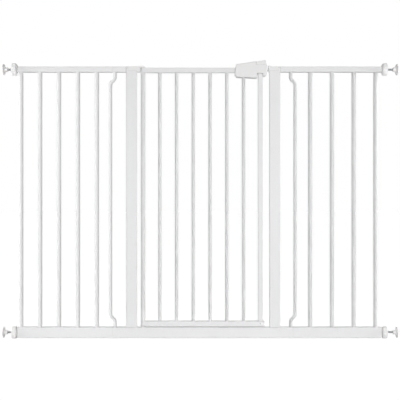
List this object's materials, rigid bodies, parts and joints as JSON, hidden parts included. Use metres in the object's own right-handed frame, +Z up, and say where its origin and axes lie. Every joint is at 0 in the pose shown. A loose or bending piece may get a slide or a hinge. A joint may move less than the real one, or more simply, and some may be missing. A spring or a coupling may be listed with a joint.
{
  "type": "safety gate",
  "caption": "Pressure-fit safety gate: steel U-frame, swinging barred door with a thumb-button latch, extension panels, and screw feet with handwheels that press on the walls.",
  "frame": {"origin": "on the floor, half way between the outer faces of the feet and half way through the gate's depth", "axes": "+X along the gate from the hinge side to the latch side, +Y to the rear, +Z up"},
  "size_m": [1.447, 0.0456, 1.0209],
  "materials": {
    "powder_coat": "smooth white powder coat",
    "white_plastic": "semi-gloss moulded plastic",
    "foot_plastic": "soft matt plastic",
    "nylon": "natural nylon",
    "zinc_steel": "bright zinc plate",
    "spring_steel": "drawn wire"
  },
  "bodies": {
    "frame": {"frame_bottom_rail": "powder_coat", "frame_post_left": "powder_coat", "frame_post_right": "powder_coat", "frame_stub_left": "powder_coat", "frame_stub_right": "powder_coat", "bent_bar_left": "powder_coat", "bent_bar_right": "powder_coat", "hinge_bracket": "white_plastic", "hinge_pin_top": "zinc_steel", "hinge_pin_bottom": "zinc_steel", "hinge_washer": "nylon", "strike_cap": "white_plastic", "saddle_screws": "zinc_steel", "panel_left_top_rail": "powder_coat", "panel_left_bottom_rail": "powder_coat", "panel_left_bars": "powder_coat", "panel_inner_top_rail": "powder_coat", "panel_inner_bottom_rail": "powder_coat", "panel_inner_bars": "powder_coat", "panel_outer_top_rail": "powder_coat", "panel_outer_bottom_rail": "powder_coat", "panel_outer_bars": "powder_coat", "coupler_left_top": "white_plastic", "coupler_left_bottom": "white_plastic", "coupler_right_top": "white_plastic", "coupler_right_bottom": "white_plastic", "joiner_top": "white_plastic", "joiner_bottom": "white_plastic", "end_plug_left_top": "white_plastic", "end_plug_left_bottom": "white_plastic", "end_plug_right_top": "white_plastic", "end_plug_right_bottom": "white_plastic"},
    "door": {"door_hinge_stile": "powder_coat", "stile_bushes": "nylon", "door_latch_stile": "powder_coat", "door_top_rail": "powder_coat", "door_bottom_rail": "powder_coat", "door_bars": "powder_coat", "door_end_cap": "white_plastic", "door_cap_rivet": "zinc_steel", "latch_front_shell": "white_plastic", "latch_rear_shell": "white_plastic", "latch_screws": "zinc_steel", "latch_bolt_guide": "nylon", "latch_spring": "spring_steel"},
    "latch_button": {"latch_button": "white_plastic"},
    "latch_bolt": {"latch_bolt": "zinc_steel", "latch_cross_pin": "zinc_steel"},
    "wheel_left_top": {"handwheel_left_top": "white_plastic"},
    "spindle_left_top": {"threaded_rod_left_top": "zinc_steel", "foot_left_top": "foot_plastic"},
    "wheel_left_bottom": {"handwheel_left_bottom": "white_plastic"},
    "spindle_left_bottom": {"threaded_rod_left_bottom": "zinc_steel", "foot_left_bottom": "foot_plastic"},
    "wheel_right_top": {"handwheel_right_top": "white_plastic"},
    "spindle_right_top": {"threaded_rod_right_top": "zinc_steel", "foot_right_top": "foot_plastic"},
    "wheel_right_bottom": {"handwheel_right_bottom": "white_plastic"},
    "spindle_right_bottom": {"threaded_rod_right_bottom": "zinc_steel", "foot_right_bottom": "foot_plastic"}
  },
  "joints": [
    {"name": "door_swing", "type": "hinge", "parent": "frame", "child": "door", "pos_m": [-0.2105, 0, 0.047], "axis": [0, 0, 1], "range_deg": [-90, 90]},
    {"name": "button_press", "type": "hinge", "parent": "door", "child": "latch_button", "pos_m": [0.2085, 0, 0.999], "axis": [0, 1, 0], "range_deg": [0, 12]},
    {"name": "bolt_slide", "type": "slide", "parent": "door", "child": "latch_bolt", "axis": [-1, 0, 0], "range_m": [0, 0.007], "stiffness_N_per_m": 500, "springref_m": -0.01, "deforming": ["latch_spring"]},
    {"name": "wheel_turn_left_top", "type": "hinge", "parent": "frame", "child": "wheel_left_top", "pos_m": [-0.6715, 0, 0.988], "axis": [1, 0, 0], "range_deg": [-2880, 8640]},
    {"name": "spindle_reach_left_top", "type": "slide", "parent": "frame", "child": "spindle_left_top", "axis": [-1, 0, 0], "range_m": [-0.01, 0.03]},
    {"name": "wheel_turn_left_bottom", "type": "hinge", "parent": "frame", "child": "wheel_left_bottom", "pos_m": [-0.6715, 0, 0.023], "axis": [1, 0, 0], "range_deg": [-2880, 8640]},
    {"name": "spindle_reach_left_bottom", "type": "slide", "parent": "frame", "child": "spindle_left_bottom", "axis": [-1, 0, 0], "range_m": [-0.01, 0.03]},
    {"name": "wheel_turn_right_top", "type": "hinge", "parent": "frame", "child": "wheel_right_top", "pos_m": [0.6658, 0, 0.988], "axis": [-1, 0, 0], "range_deg": [-2880, 8640]},
    {"name": "spindle_reach_right_top", "type": "slide", "parent": "frame", "child": "spindle_right_top", "axis": [1, 0, 0], "range_m": [-0.01, 0.03]},
    {"name": "wheel_turn_right_bottom", "type": "hinge", "parent": "frame", "child": "wheel_right_bottom", "pos_m": [0.6658, 0, 0.023], "axis": [-1, 0, 0], "range_deg": [-2880, 8640]},
    {"name": "spindle_reach_right_bottom", "type": "slide", "parent": "frame", "child": "spindle_right_bottom", "axis": [1, 0, 0], "range_m": [-0.01, 0.03]}
  ],
  "couplings": [
    {"joint": "button_press", "follows": "bolt_slide", "rad_per_m": 29.919},
    {"joint": "wheel_turn_left_top", "follows": "spindle_reach_left_top", "rad_per_m": 5026.5},
    {"joint": "wheel_turn_left_bottom", "follows": "spindle_reach_left_bottom", "rad_per_m": 5026.5},
    {"joint": "wheel_turn_right_top", "follows": "spindle_reach_right_top", "rad_per_m": 5026.5},
    {"joint": "wheel_turn_right_bottom", "follows": "spindle_reach_right_bottom", "rad_per_m": 5026.5}
  ]
}
